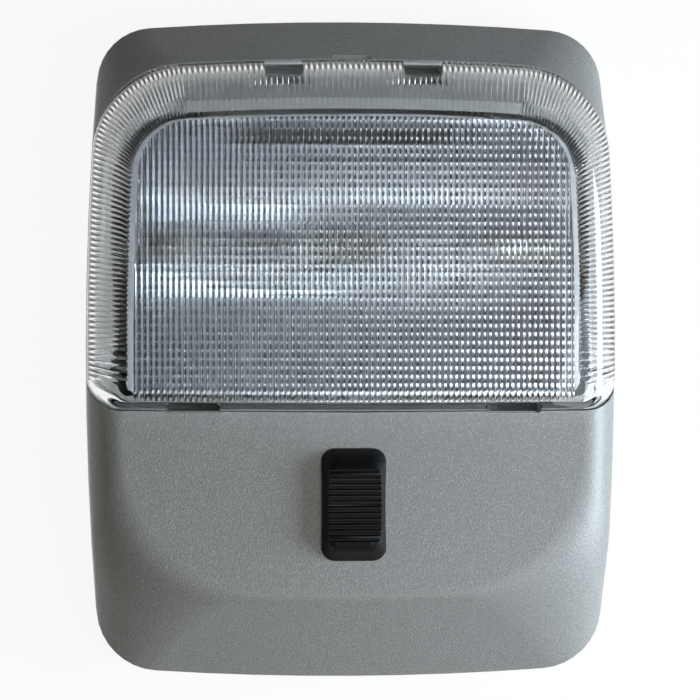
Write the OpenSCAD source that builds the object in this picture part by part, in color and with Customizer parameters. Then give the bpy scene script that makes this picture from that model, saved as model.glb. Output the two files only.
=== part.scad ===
/* [Housing] */
// Width across the convex sides
body_w = 108; // [100:1:116]
// Length between the convex ends
body_l = 133.6; // [128:0.2:144]
// Height of the flat face over the mounting plane
face_h = 24; // [23:0.5:28]
// Wall thickness of the shell
wall = 2.2; // [1.6:0.1:2.6]
// Thickness of the floor behind the reflector
floor_t = 2.5; // [2:0.1:3]
// Radius of the convex long sides, seen from the front
side_r = 680; // [500:10:1200]
// Radius of the convex ends, seen from the front
end_r = 585; // [400:5:1200]
// Corner radius at the mounting plane, at the lens end
corner_r = 11.4; // [9:0.1:13]
// Corner radius at the mounting plane, at the switch end
corner_low_r = 12.9; // [9:0.1:14]
// Growth of the corner radius for each mm that an end slopes in
corner_grow = 0.9; // [0.8:0.1:1.3]
// Draft of the side walls, from vertical
side_draft = 1.5; // [0.5:0.1:2]
// Radius of the rounded edge along the sides
side_edge_r = 7; // [5:0.5:8]
// Angle of the sloping ends, from the mounting plane
end_slope = 38.5; // [37:0.5:46]
// Radius between a sloping end and the face
end_edge_r = 4.5; // [4:0.5:8]
// Height at which the ends start to slope
end_wall_h = 11; // [9:0.5:12]

/* [Lens] */
// Distance from the centre to the lens's lower edge
lens_low = 12.6; // [12:0.1:15]
// Height of the lens's outer face over the mounting plane
lens_h = 28.5; // [28:0.5:33]
// Height of the seam between the lens's skirt and the housing
rim_h = 17.5; // [16.5:0.25:18]
// Wall thickness of the lens
lens_t = 2; // [1.6:0.1:2.2]
// Width of the curved border along the sides
border_side = 6.3; // [5:0.1:7]
// Width of the curved border along the top
border_top = 9.6; // [8:0.1:10.4]
// Width of the rounded lip along the bottom
border_low = 0.6; // [0.4:0.1:1]
// Corner radius of the lens's lower corners at the skirt
lens_low_r = 6.4; // [5:0.2:8]
// Radius of the lens's nearly straight lower end, seen from the front
lens_low_end_r = 3000; // [1500:100:5000]
// Corner radius of the flat panel's upper corners
panel_r = 13.6; // [12:0.1:15]
// Corner radius of the flat panel's lower corners
panel_low_r = 1.2; // [1:0.1:2]
// Pitch of the panel's ribs
rib_pitch = 1.13; // [1:0.01:2]
// Depth of the panel's ribs
rib_depth = 0.35; // [0.2:0.05:0.5]
// Pitch of the border's ribs
flute_pitch = 1.12; // [1:0.01:2]
// Depth of the border's ribs
flute_depth = 0.3; // [0.2:0.05:0.4]
// Distance of a top window from the centre line
window_x = 14; // [12:0.1:18]
// Width of a top window
window_w = 7.6; // [6:0.1:9]
// Distance of a bottom window from the centre line
low_window_x = 32.2; // [28:0.1:36]
// Width of a bottom window
low_window_w = 10.4; // [8:0.1:12]
// Width of the pry notch over the lens
notch_w = 7.7; // [6:0.1:9]

/* [Reflector] */
// Thickness of the reflector's sheet
sheet_t = 0.8; // [0.6:0.1:1]
// Height of the reflector's flange, on top
flange_h = 20.6; // [20:0.1:21]
// Height of the trough's floor, on top
trough_h = 8.5; // [8:0.1:9]
// Width of the trough's flat floor
trough_w = 18; // [17:0.5:20]
// Length of the slot near the reflector's top edge
slot_l = 45; // [30:1:50]
// Width of that slot
slot_w = 2.4; // [1.6:0.1:3]

/* [Bulbs] */
// Overall length of a bulb
bulb_l = 36; // [35:0.5:37]
// Radius of a bulb's glass
glass_r = 5.25; // [4.5:0.05:5.4]
// Radius of a bulb's end caps
cap_r = 3.5; // [3.3:0.05:3.6]
// Length of an end cap
cap_l = 6.5; // [5.5:0.1:7]
// Distance of the bulbs' axis from the centre, towards the lens end
bulb_y = 21; // [19:0.5:22]
// Height of the bulbs' axis
bulb_h = 15; // [14.8:0.1:15.2]

/* [Contacts] */
// Thickness of the contact strips
strip_t = 0.8; // [0.6:0.1:0.8]
// Width of a terminal blade
blade_w = 6.3; // [4.8:0.1:6.4]
// Width of the upright that holds a bulb's end
upright_w = 8; // [7.4:0.1:8.5]

/* [Switch] */
// Distance of the switch from the centre
switch_low = 31.2; // [31:0.1:34]
// Width of the button
button_w = 13.2; // [12:0.1:15]
// Length of the button
button_l = 22.6; // [22.6:0.1:26]
// Height of the button over the face
button_h = 3.9; // [3:0.1:4.2]
// Corner radius of the button
button_r = 2.9; // [2:0.1:4]
// Depth to which the button's long sides draw in
button_waist = 0.3; // [0.1:0.05:0.5]
// Number of cross grooves
groove_n = 13; // [9:2:13]
// Pitch of the cross grooves
groove_pitch = 1.15; // [1.1:0.01:1.2]
// Travel to each side of the middle position
travel = 4; // [3:0.1:4]

/* [Mounting] */
// Distance between the mounting holes across the lamp
hole_dx = 80; // [70:1:84]
// Distance between the mounting holes along the lamp
hole_dy = 38; // [34:1:42]
// Radius of the mounting holes
hole_r = 2.25; // [2:0.05:2.6]
// Distance of the mounting pattern from the centre, towards the lens end
hole_y = 21; // [20:0.5:22]

/* [Fits] */
// Clearance between the lens and the housing
lens_gap = 0.15; // [0.1:0.05:0.2]
// Clearance of sliding parts
slide_gap = 0.2; // [0.15:0.05:0.25]
// Clearance of parts that pass through a slot
pass_gap = 0.3; // [0.25:0.05:0.4]

/* [Hidden] */
slab = 0.02;
high = 60;
small_r = 1;
// How far a solid sinks into the one that carries it
sink = 1;

// Housing seen from the front
half_w = body_w / 2;
half_l = body_l / 2;
roof_h = face_h - wall;

// Lens: outline at the skirt's lower edge, which follows the housing's own surface
rim_side = half_w - edge_inset(rim_h, 0, 90 - side_draft, side_edge_r);
rim_top = half_l - edge_inset(rim_h, end_wall_h, end_slope, end_edge_r);
rim_r = corner_r + corner_grow * (half_l - rim_top);
lens_rise = lens_h - rim_h;
panel_side = rim_side - border_side;
panel_top = rim_top - border_top;
lens_low_less = 0.8;
lens_low_t = lens_t - lens_low_less;

// Upstand of the housing under the lens
seat_h = rim_h - lens_gap;
ledge_t = 2;
upstand_rise = 4.3;
upstand_h = rim_h + upstand_rise;
upstand_t = 1.2;
upstand_gap = 0.36;
upstand_lean_side = 1.1;
upstand_lean_top = 5.3;
upstand_side = rim_side - lens_t - upstand_gap;
upstand_top = rim_top - lens_t - upstand_gap;
upstand_low_gap = 0.46;
upstand_low = lens_low - lens_low_t - upstand_low_gap;
upstand_top_t = 2.2;
channel_t = 1.8;

// Snap legs and tabs of the lens
leg_t = 1.3;
leg_low = 11.4;
window_l = 2;
window_in = 1.5;
window_top = rim_top - window_in;
barb_h = 1.8;
barb_edge = 0.6;
tab_deep = 4.5;

// Reflector
flange_more = 0.6;
flange_w = 1.8;
flange_side = panel_side - lens_t + flange_more;
flange_top = panel_top - lens_t + flange_more;
flange_low = upstand_low - upstand_t - pass_gap;
flange_r = panel_r - lens_t + flange_more;
tray_r = flange_r - flange_w;
tray_low_r = 2;
flange_low_r = 3;
tray_side = flange_side - flange_w;
cheek_lean = 1.5;
tray_top = flange_top - flange_w;
flange_low_w = 1.2;
tray_low = flange_low - flange_low_w;
trough_shift = 1;
trough_y0 = bulb_y - trough_w / 2 - trough_shift;
trough_y1 = trough_y0 + trough_w;
slot_in = 4.6;
slot_y = flange_top - slot_in;
live_gap = 0.4;
slope_power = 1.7;
slope_steps = 9;

// Bulbs and contacts
seat_depth = 0.3;
seat_r = 2.35;
tip_r = 2;
tip_l = 1.6;
cap_t = 0.35;
glass_t = 0.6;
cement_t = 0.1;
neck_r = cap_r - cap_t - cement_t;
neck_l = 4;
centre_gap = 7.2;
bulb_x = centre_gap / 2 - seat_depth + bulb_l / 2;
upright_x = centre_gap / 2 + bulb_l - 2 * seat_depth;
upright_over = 3.6;
upright_top = bulb_h + upright_over;
run_w = 3;
run_x = 7;
strip_z = floor_t;
riser_gap = 0.35;
riser_y = -(lens_low + lens_gap + channel_t + riser_gap);
glass_end = bulb_l / 2 - cap_l + neck_l;
neck_out = 2.9;
glass_body = bulb_l / 2 - cap_l - neck_out;
glass_shoulder = 2.6;
foot_half = 3;
coil_l = 7;
coil_r = 0.45;
lead_r = 0.2;
rivet_r = 1.2;
rivet_fit = 0.05;
rivet_x = 25;
centre_rivet_y = 10;
rivet_sunk = 0.1;
rivet_head_r = 2;
rivet_head_h = 0.7;

// Switch
switch_y = -switch_low;
stem_w = 5;
stem_l = 6;
slot_half_l = stem_l / 2 + travel + slide_gap;
carriage_w = 16;
carriage_l = 13;
carriage_t = 3.4;
carriage_top = roof_h - pass_gap;
carriage_low = carriage_top - carriage_t;
base_t = 2;
bridge_room = 3.4;
base_top = carriage_low - bridge_room;
rail_t = 2;
rail_gap = 2.1;
rail_x = carriage_w / 2 + slide_gap;
base_more = 0.8;
base_end = switch_low + carriage_l / 2 + travel + base_more;
base_start = -riser_y + strip_t + pass_gap;
ear_x = 15;
ear_r = 3.5;
boss_r = 3;
reflector_screw_x = 18;
pilot_r = 1.2;
thread_gap = 0.03;
screw_r = 1.5;
head_r = 2.7;
head_h = 1.6;
recess_l = 2.6;
recess_w = 0.6;
recess_deep = 0.7;
notch_deep = 0.45;
notch_step = travel;

// Contact pads on the switch base
pad_x0 = 3.5;
pad_x1 = 6.5;
pad_gap = 2.1;
pad_l = 8;
pad_turn = 2;
pad_side_w = 1.2;
rail_w = 2.4;
blade_reach = 9;
blade_low = 3;

// Button, carriage, leaf spring and bridge
button_gap = 0.15;
dish_deep = 0.45;
dish_half = groove_n * groove_pitch / 2;
dish_r = (dish_half * dish_half + dish_deep * dish_deep) / (2 * dish_deep);
waist_r = (button_l * button_l / 4 + button_waist * button_waist) / (2 * button_waist);
groove_r = 0.36;
pocket_deep = 2.6;
leaf_t = 0.3;
leaf_h = 1.6;
leaf_half = 4.4;
leaf_gap = 0.1;
leaf_reach = rail_x - leaf_gap;
leaf_rise = 1.5;
leaf_r = (leaf_half * leaf_half + leaf_rise * leaf_rise) / (2 * leaf_rise);
bridge_t = 0.4;
bridge_half = 2.4;
peg_r = 0.7;
peg_out = 0.3;
peg_x = 2.5;
peg_y = 1.2;
leaf_low = 0.15;
stem_fit = 0.05;
clip_out = 0.2;
clip_half = 1.5;
clip_z = 0.5;
clip_h = 0.5;
groove_in = 1.2;
foot_x = 5;
foot_w = 1.6;

// Height profile of a rounded edge: how far a wall has come in at height z. The wall starts at
// height z0, rises at the given angle, and turns into the face with radius r
function edge_inset(z, z0, angle, r) =
    let (
        over = max(0, z - z0),
        centre = (r + cos(angle) * (face_h - r - z0)) / sin(angle),
        turn = face_h - r + r * cos(angle)
    )
    z < turn
        ? over / tan(angle)
        : centre - sqrt(max(0, r * r - pow(z - face_h + r, 2)));

// Upper right meeting point of two circles
function circles_meet(c1, r1, c2, r2) =
    let (
        d = norm(c2 - c1),
        a = (r1 * r1 - r2 * r2 + d * d) / (2 * d),
        h = sqrt(r1 * r1 - a * a),
        u = (c2 - c1) / d,
        m = c1 + a * u,
        p = m + h * [u[1], -u[0]],
        q = m - h * [u[1], -u[0]]
    )
    p[0] > q[0] ? p : q;

function on_circle(c, r, a) = c + r * [cos(a), sin(a)];
function arc(c, r, from, to, n) = [for (i = [0:n]) on_circle(c, r, from + (to - from) * i / n)];
function flip_x(points) = [for (i = [len(points) - 1:-1:0]) [-points[i][0], points[i][1]]];
function flip_y(points) = [for (i = [len(points) - 1:-1:0]) [points[i][0], -points[i][1]]];

// Quarter of an outline from the side at y = 0 to the end at x = 0: a convex side of half width a,
// an end at distance b and a corner of radius r. Counts: n_side, n_corner and n_end segments
function quarter(a, b, r, end_radius, n_side, n_corner, n_end) =
    let (
        cs = [a - side_r, 0],
        ce = [0, b - end_radius],
        p = circles_meet(cs, side_r - r, ce, end_radius - r),
        from = atan2(p[1] - cs[1], p[0] - cs[0]),
        to = atan2(p[1] - ce[1], p[0] - ce[0]),
        side = arc(cs, side_r, 0, from, n_side),
        corner = arc(p, r, from, to, n_corner),
        end = arc(ce, end_radius, to, 90, n_end)
    )
    concat([for (i = [0:n_side - 1]) side[i]], [for (i = [0:n_corner - 1]) corner[i]], end);

// Full outline with its own end distance and corner radius at the top and at the bottom.
// The point at x = 0 is listed once at each end, and the points at y = 0 once at each side
function outline(a, top, low, r_top, r_low, r_low_end = end_r, n = [4, 8, 4], m = [4, 8, 4]) =
    let (
        up = quarter(a, top, r_top, end_r, n[0], n[1], n[2]),
        down = flip_y(quarter(a, low, r_low, r_low_end, m[0], m[1], m[2])),
        right = concat(down, [for (i = [1:len(up) - 1]) up[i]]),
        left = flip_x(right)
    )
    concat(right, [for (i = [1:len(left) - 2]) left[i]]);

// Outline of the housing's outside, or of its inside when t is the wall's thickness, at height z
function body_outline(z, t = 0) =
    let (
        s = edge_inset(z + t, 0, 90 - side_draft, side_edge_r) + t,
        e = edge_inset(z + t, end_wall_h, end_slope, end_edge_r) + t,
        grow = corner_grow * (e - t) - t
    )
    outline(half_w - s, half_l - e, half_l - e, corner_r + grow, corner_low_r + grow);

// Outline of the lens at the share f of its border, from 0 at the skirt to 1 at the panel,
// drawn in by t. low_t is how far the lower wall is drawn in
function lens_outline(f, t, low_t, n = [4, 8, 4], m = [2, 6, 1]) =
    outline(rim_side - border_side * f - t, rim_top - border_top * f - t,
        lens_low - border_low * f - low_t,
        rim_r + (panel_r - rim_r) * f - t,
        max(small_r, lens_low_r + (panel_low_r - lens_low_r) * f - low_t), lens_low_end_r, n, m);

module level(points, z, t = slab) {
    translate([0, 0, z]) linear_extrude(t) polygon(points);
}

module block(x0, x1, y0, y1, z0, z1) {
    translate([x0, y0, z0]) cube([x1 - x0, y1 - y0, z1 - z0]);
}

// Cylinder from height z0 to height z1, for round bosses and bores
module bore(r, z0, z1, n = 48) {
    translate([0, 0, z0]) cylinder(r = r, h = z1 - z0, $fn = n);
}

module both_sides() {
    children();
    mirror([1, 0, 0]) children();
}

// Stack of outlines that makes the housing's outside, or its inside when t is the wall's thickness
module body_solid(t = 0) {
    turn = face_h - side_edge_r;
    hull() {
        level(body_outline(0, t), t == 0 ? 0 : -sink);
        level(body_outline(end_wall_h, t), end_wall_h - t);
        for (u = [0:0.125:1]) {
            z = turn + side_edge_r * sin(90 * u) - t;
            level(body_outline(z, t), z - slab);
        }
    }
}

function ledge_low() = seat_h - ledge_t;

// Upstand drawn in by in, and by in_top on the top side: upright up to the seat, leaning in over it
module upstand_solid(in, in_top, z0, z1) {
    r0 = rim_r - lens_t - upstand_gap - in;
    r1 = r0 - upstand_lean_side - 1;
    low_r = max(small_r, lens_low_r - lens_low_t - in);
    lean = (z1 - seat_h) / (upstand_h - seat_h);
    foot = outline(upstand_side - in, upstand_top - in_top, upstand_low - in, r0, low_r, lens_low_end_r);
    hull() {
        level(foot, z0, seat_h - z0);
        level(outline(upstand_side - in - upstand_lean_side * lean,
            upstand_top - in_top - upstand_lean_top * lean,
            upstand_low - in, r1, low_r, lens_low_end_r), z1 - slab);
    }
}

// Cut for the lens, wide enough to run out through the sloping end and the sides
module lens_rebate() {
    run_out = 0.1;
    level(lens_outline(0, -lens_gap - run_out, -lens_gap), seat_h, high);
}

module reflector_opening() {
    upstand_solid(upstand_t, upstand_top_t, ledge_low() - sink, upstand_h + sink);
}

module dividing_wall() {
    y = lens_low + lens_gap;
    block(-half_w, half_w, -y, -y + channel_t, 0, ledge_low() + sink);
}

// Ring under the lens's skirt, before the reflector's opening is cut
module seat_block() {
    level(lens_outline(0, -channel_t, -channel_t - lens_gap), ledge_low(), face_h - ledge_low());
}

// Fins from the walls that carry the reflector's flange
module flange_fins() {
    fin_t = 2;
    fin_gap = 0.35;
    fin_in = 10;
    fin_x0 = 28;
    fin_x1 = fin_x0 + fin_t;
    top = flange_h - sheet_t;
    x = tray_side + sheet_t + fin_gap;
    y = tray_top + sheet_t + fin_gap;
    both_sides() {
        for (fin_y = [-4, bulb_y, tray_top - fin_in]) {
            block(x, half_w - wall + slide_gap, fin_y - fin_t / 2, fin_y + fin_t / 2,
                floor_t - sink, ledge_low() + sink);
            block(x, flange_side, fin_y - fin_t / 2, fin_y + fin_t / 2, floor_t, top);
        }
        block(fin_x0, fin_x1, y, upstand_top, floor_t - sink, ledge_low() + sink);
        block(fin_x0, fin_x1, y, flange_top, floor_t, top);
    }
}

module leg_slot() {
    w = window_w / 2 + pass_gap;
    y = window_top - window_l - leg_t - pass_gap;
    block(window_x - w, window_x + w, y, window_top + pass_gap, ledge_low() - ledge_t, face_h);
}

module tab_slot() {
    w = low_window_w / 2 + pass_gap;
    z = rim_h - tab_deep - pass_gap;
    block(low_window_x - w, low_window_x + w,
        -lens_low - lens_gap, -lens_low + lens_low_t + pass_gap, z, face_h);
}

module pry_notch() {
    deep = 0.9;
    reach = 1;
    block(-notch_w / 2, notch_w / 2, rim_top - pass_gap, rim_top + reach, rim_h - deep, face_h);
}

module mounting_places() {
    for (x = [-1, 1], y = [-1, 1])
        translate([x * hole_dx / 2, hole_y + y * hole_dy / 2, 0]) children();
}

module reflector_screw_places() {
    both_sides() translate([reflector_screw_x, trough_y0 + head_r + 0.1, 0]) children();
}

module rivet_places() {
    both_sides() translate([rivet_x, bulb_y, 0]) children();
    translate([0, centre_rivet_y, 0]) children();
}

module switch_screw_places() {
    both_sides() translate([ear_x, switch_y, 0]) children();
}

module strip_notches() {
    y0 = -lens_low - lens_gap - sink;
    y1 = -lens_low - lens_gap + channel_t + sink;
    z = strip_z + strip_t + pass_gap;
    both_sides() block(run_x - pass_gap, run_x + run_w + pass_gap, y0, y1, strip_z, z);
    block(-blade_w / 2 - pass_gap, blade_w / 2 + pass_gap, y0, y1, strip_z, z);
}

// Shell, floor, dividing wall and the lens's rebate
module housing_shell() {
    difference() {
        union() {
            difference() {
                body_solid();
                body_solid(wall);
            }
            intersection() {
                body_solid();
                union() {
                    block(-half_w, half_w, -lens_low - lens_gap, half_l, 0, floor_t);
                    dividing_wall();
                    seat_block();
                }
            }
        }
        lens_rebate();
    }
}

module housing_bosses() {
    pad_h = 1.5;
    reflector_screw_places() bore(boss_r, floor_t - sink, trough_h - sheet_t);
    mounting_places() bore(hole_r * 2, floor_t - sink, floor_t + pad_h);
    switch_screw_places() bore(boss_r, base_top, roof_h + sink);
}

module housing_bores() {
    blind = 0.5;
    mounting_places() bore(hole_r, -sink, high);
    reflector_screw_places() bore(pilot_r, floor_t, high);
    switch_screw_places() bore(pilot_r, base_top - sink, roof_h - blind);
    rivet_places() {
        bore(rivet_r + rivet_fit, -sink, floor_t + sink);
        bore(rivet_head_r + 2 * rivet_fit, -sink, rivet_head_h + rivet_sunk);
    }
}

module housing() {
    color([0.48, 0.49, 0.48]) difference() {
        union() {
            difference() {
                union() {
                    housing_shell();
                    upstand_solid(0, 0, seat_h - sink, upstand_h);
                }
                reflector_opening();
            }
            flange_fins();
            housing_bosses();
        }
        both_sides() leg_slot();
        both_sides() tab_slot();
        pry_notch();
        strip_notches();
        block(-stem_w / 2 - pass_gap, stem_w / 2 + pass_gap, switch_y - slot_half_l, switch_y + slot_half_l,
            roof_h - sink, high);
        housing_bores();
    }
}

// Even numbers of segments, two for each flute
flute_side = 2 * round((rim_top - rim_r) / flute_pitch);
flute_corner = 2 * round(rim_r * PI / 2 / flute_pitch);
flute_end = 2 * round((rim_side - rim_r) / flute_pitch);
flute_low = 2 * round((lens_low - lens_low_r) / flute_pitch);
border_angles = [0, 28, 52, 72, 90];
rib_in = 0.2;
play = 0.4;

// Ring of the fluted inside of the border: every second point stands in by the flutes' depth
function fluted_ring(f) =
    let (
        n = [flute_side, flute_corner, flute_end],
        m = [flute_low, 6, 1],
        wide = lens_outline(f, lens_t, lens_low_t, n, m),
        narrow = lens_outline(f, lens_t + flute_depth, lens_low_t, n, m),
        limit = -(lens_low - lens_low_r)
    )
    [for (i = [0:len(wide) - 1]) (i % 2 == 0 && wide[i][1] > limit) ? narrow[i] : wide[i]];

module lens_void() {
    rise = lens_rise - lens_t;
    low = [for (p = fluted_ring(0)) [p[0], p[1], rim_h - sink]];
    rings = concat([low], [for (a = border_angles)
        [for (p = fluted_ring(1 - cos(a))) [p[0], p[1], rim_h + rise * sin(a)]]]);
    n = len(low);
    count = len(rings);
    points = [for (ring = rings) for (p = ring) p];
    walls = [for (k = [0:count - 2]) for (i = [0:n - 1])
        let (j = (i + 1) % n, a = k * n + i, b = k * n + j)
        each [[a, a + n, b + n], [a, b + n, b]]];
    floor_face = [for (i = [0:n - 1]) i];
    roof_face = [for (i = [n - 1:-1:0]) (count - 1) * n + i];
    polyhedron(points, concat(walls, [floor_face, roof_face]));
}

module panel_ribs() {
    z = lens_h - lens_t;
    field = panel_side - lens_t;
    n = floor(field / rib_pitch);
    teeth = [for (i = [-n:n - 1]) each [[i * rib_pitch, 0], [(i + 0.5) * rib_pitch, rib_depth]]];
    translate([0, 0, z]) intersection() {
        translate([0, panel_top, 0]) rotate([90, 0, 0]) linear_extrude(panel_top + lens_low)
            polygon(concat([[-n * rib_pitch, -sink]], teeth, [[n * rib_pitch, 0], [n * rib_pitch, -sink]]));
        level(lens_outline(1, lens_t + flute_depth + rib_in, lens_low_t + rib_in), -sink / 2, lens_t);
    }
}

module lens_leg() {
    y = window_top - window_l;
    w = window_w - play;
    top = rim_h + lens_rise * sqrt(1 - pow(1 - (rim_top - y) / border_top, 2)) - sink;
    barb_y = window_top - 0.1;
    barb_top = leg_low + barb_h;
    translate([window_x - w / 2, 0, 0]) rotate([90, 0, 90]) linear_extrude(w)
        polygon([[y - leg_t, leg_low], [y, leg_low], [barb_y, barb_top - barb_edge], [barb_y, barb_top],
            [y, barb_top], [y, top], [y - leg_t, top]]);
}

module lens_tab() {
    w = low_window_w - play;
    block(low_window_x - w / 2, low_window_x + w / 2, -lens_low, -lens_low + lens_low_t,
        rim_h - tab_deep, rim_h + sink);
}

// Outline of the lens's outside at an angle a round its border
module lens_level(a) {
    level(lens_outline(1 - cos(a), 0, 0, [4, 12, 4]), rim_h + (lens_rise - slab) * sin(a));
}

module lens_windows() {
    low_l = 1.4;
    low_deep = 3.2;
    edge = 0.1;
    block(window_x - window_w / 2, window_x + window_w / 2,
        window_top - window_l - edge, window_top, rim_h - sink, high);
    block(low_window_x - low_window_w / 2, low_window_x + low_window_w / 2,
        -lens_low + edge, -lens_low + edge + low_l, lens_h - low_deep, high);
}

module lens() {
    color([0.86, 0.89, 0.92, 0.4]) difference() {
        union() {
            difference() {
                for (a = [0:10:80]) hull() {
                    lens_level(a);
                    lens_level(a + 10);
                }
                lens_void();
                panel_ribs();
            }
            both_sides() lens_leg();
            both_sides() lens_tab();
        }
        both_sides() lens_windows();
    }
}

// Section of the reflector's trough, closed over the top at height top
function trough_section(t, top) =
    let (
        y1 = tray_top + t,
        y0 = -tray_low - t,
        rise = flange_h - trough_h,
        n = slope_steps,
        height = function(u) trough_h - t + rise * pow(u, slope_power),
        up = [for (i = [0:n]) [trough_y1 + (y1 - trough_y1) * i / n, height(i / n)]],
        down = [for (i = [n:-1:0]) [trough_y0 + (y0 - trough_y0) * i / n, height(i / n)]]
    )
    concat(down, up, [[y1, top], [y0, top]]);

function tray_outline(side, t) =
    outline(side + t, tray_top + t, tray_low + t, tray_r + t, tray_low_r + t, lens_low_end_r);

module tray_solid(t, top) {
    intersection() {
        rotate([90, 0, 90]) linear_extrude(2 * half_w, center = true) polygon(trough_section(t, top));
        hull() {
            level(tray_outline(tray_side - cheek_lean, t), trough_h - t - sink);
            level(tray_outline(tray_side, t), top);
        }
    }
}

// Opening in the trough's floor for a contact that stands from x0 to x1
module contact_opening(x0, x1) {
    half = upright_w / 2 + live_gap;
    block(x0 - live_gap, x1 + live_gap, bulb_y - half, bulb_y + half, 0, trough_h + sink);
}

// Room for a bulb's end and its upright, for where they reach the cheek
module bulb_end_opening() {
    half = upright_w / 2 + live_gap;
    block(upright_x - cap_l, upright_x + strip_t + live_gap, bulb_y - half, bulb_y + half,
        trough_h + sink / 2, upright_top + live_gap);
}

module reflector() {
    color([0.78, 0.80, 0.83]) difference() {
        union() {
            tray_solid(sheet_t, flange_h - slab);
            level(outline(flange_side, flange_top, flange_low, flange_r, flange_low_r, lens_low_end_r),
                flange_h - sheet_t, sheet_t);
        }
        tray_solid(0, flange_h + sink);
        block(-slot_l / 2, slot_l / 2, slot_y - slot_w / 2, slot_y + slot_w / 2, 0, flange_h + sink);
        both_sides() contact_opening(upright_x, upright_x + strip_t);
        both_sides() bulb_end_opening();
        contact_opening(-centre_gap / 2, centre_gap / 2);
        reflector_screw_places() bore(screw_r + slide_gap, 0, flange_h);
    }
}

// Pan-head screw with its tip at the origin and its head up
module screw(r, length) {
    cylinder(r = r, h = length, $fn = 32);
    translate([0, 0, length]) difference() {
        cylinder(r = head_r, h = head_h, $fn = 48);
        for (turn = [0, 90])
            rotate(turn) block(-recess_l / 2, recess_l / 2, -recess_w / 2, recess_w / 2,
                head_h - recess_deep, high);
    }
}

module reflector_screws() {
    length = trough_h - floor_t - live_gap;
    color([0.72, 0.73, 0.75]) reflector_screw_places()
        translate([0, 0, trough_h - length]) screw(pilot_r - thread_gap, length);
}

// Turns a profile drawn along +Y into a solid of revolution along X
module along_x(profile, n = 64) {
    rotate([0, 90, 0]) rotate_extrude($fn = n) polygon(profile);
}

function glass_half(r, neck, body, shoulder, end) =
    concat([for (a = [0:15:90]) [neck + (r - neck) * cos(a), body + shoulder * sin(a)]], [[neck, end]]);

// Closed profile of a solid of revolution from one half and its mirror
function two_halves(half) =
    let (n = len(half) - 1)
    concat([[0, -half[n][1]]], [for (i = [n:-1:0]) [half[i][0], -half[i][1]]], half, [[0, half[n][1]]]);

// Envelope of a bulb, drawn in by t
module glass_solid(t) {
    along_x(two_halves(glass_half(glass_r - t, neck_r - t, glass_body, glass_shoulder, glass_end - t)));
}

module bulb_glass() {
    color([0.93, 0.95, 0.97, 0.35]) difference() {
        glass_solid(0);
        glass_solid(glass_t);
    }
}

module bulb_cap() {
    end = bulb_l / 2;
    start = end - cap_l;
    cup = start + neck_l + 2 * cement_t;
    along_x([[0, end], [tip_r, end], [cap_r, end - tip_l], [cap_r, start], [cap_r - cap_t, start],
        [cap_r - cap_t, cup], [0, cup]]);
}

module bulb_caps() {
    color([0.80, 0.79, 0.76]) {
        bulb_cap();
        mirror([1, 0, 0]) bulb_cap();
    }
}

module bulb_filament() {
    reach = glass_end - glass_t;
    color([0.35, 0.34, 0.34]) rotate([0, 90, 0]) {
        bore(coil_r, -coil_l / 2, coil_l / 2, 24);
        bore(lead_r, -reach, reach, 16);
    }
}

module at_left_bulb() {
    translate([-bulb_x, bulb_y, bulb_h]) children();
}

module at_right_bulb() {
    translate([bulb_x, bulb_y, bulb_h]) children();
}

module left_bulb_glass() { at_left_bulb() bulb_glass(); }
module left_bulb_caps() { at_left_bulb() bulb_caps(); }
module left_bulb_filament() { at_left_bulb() bulb_filament(); }
module right_bulb_glass() { at_right_bulb() bulb_glass(); }
module right_bulb_caps() { at_right_bulb() bulb_caps(); }
module right_bulb_filament() { at_right_bulb() bulb_filament(); }

// Bore along X for a bulb's tip, through the uprights at x
module seat_bore(x) {
    half_l = centre_gap / 2 + sink;
    translate([x, bulb_y, bulb_h]) rotate([0, 90, 0]) bore(seat_r, -half_l, half_l);
}

module upright(x0) {
    block(x0, x0 + strip_t, bulb_y - upright_w / 2, bulb_y + upright_w / 2, strip_z, upright_top);
}

module rivet_bores() {
    rivet_places() bore(rivet_r + rivet_fit, 0, strip_z + strip_t + sink);
}

// Outer contact, foot, run and riser of a side strip, on the right
module side_strip() {
    upright(upright_x);
    block(run_x, upright_x + strip_t, bulb_y - foot_half, bulb_y + foot_half, strip_z, strip_z + strip_t);
    block(run_x, run_x + run_w, riser_y - strip_t, bulb_y + foot_half, strip_z, strip_z + strip_t);
    block(run_x, run_x + run_w, riser_y - strip_t, riser_y, strip_z, base_top + strip_t);
}

module left_contact_strip() {
    color([0.72, 0.71, 0.69]) difference() {
        union() {
            mirror([1, 0, 0]) side_strip();
            block(-run_x - run_w, -pad_x0, riser_y - strip_t - pad_turn, riser_y,
                base_top, base_top + strip_t);
            block(-pad_x1, -pad_x0, switch_y + pad_gap, riser_y, base_top, base_top + strip_t);
        }
        seat_bore(-upright_x);
        rivet_bores();
    }
}

module right_contact_strip() {
    outer = rail_x - live_gap - leaf_gap;
    color([0.72, 0.71, 0.69]) difference() {
        union() {
            side_strip();
            block(outer - pad_side_w, run_x + run_w, riser_y - strip_t - pad_turn, riser_y,
                base_top, base_top + strip_t);
            block(outer - pad_side_w, outer, switch_y - pad_l, riser_y, base_top, base_top + strip_t);
            block(pad_x0, outer, switch_y - pad_l, switch_y - pad_gap, base_top, base_top + strip_t);
        }
        seat_bore(upright_x);
        rivet_bores();
    }
}

module centre_contact_strip() {
    blade_end = lens_low + lens_gap + channel_t + blade_reach;
    foot = centre_gap / 2;
    color([0.72, 0.71, 0.69]) difference() {
        union() {
            upright(foot - strip_t);
            upright(-foot);
            block(-foot, foot, bulb_y - upright_w / 2, bulb_y + upright_w / 2, strip_z, strip_z + strip_t);
            block(-blade_w / 2, blade_w / 2, -blade_end, bulb_y, strip_z, strip_z + strip_t);
        }
        seat_bore(0);
        rivet_bores();
    }
}

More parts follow.
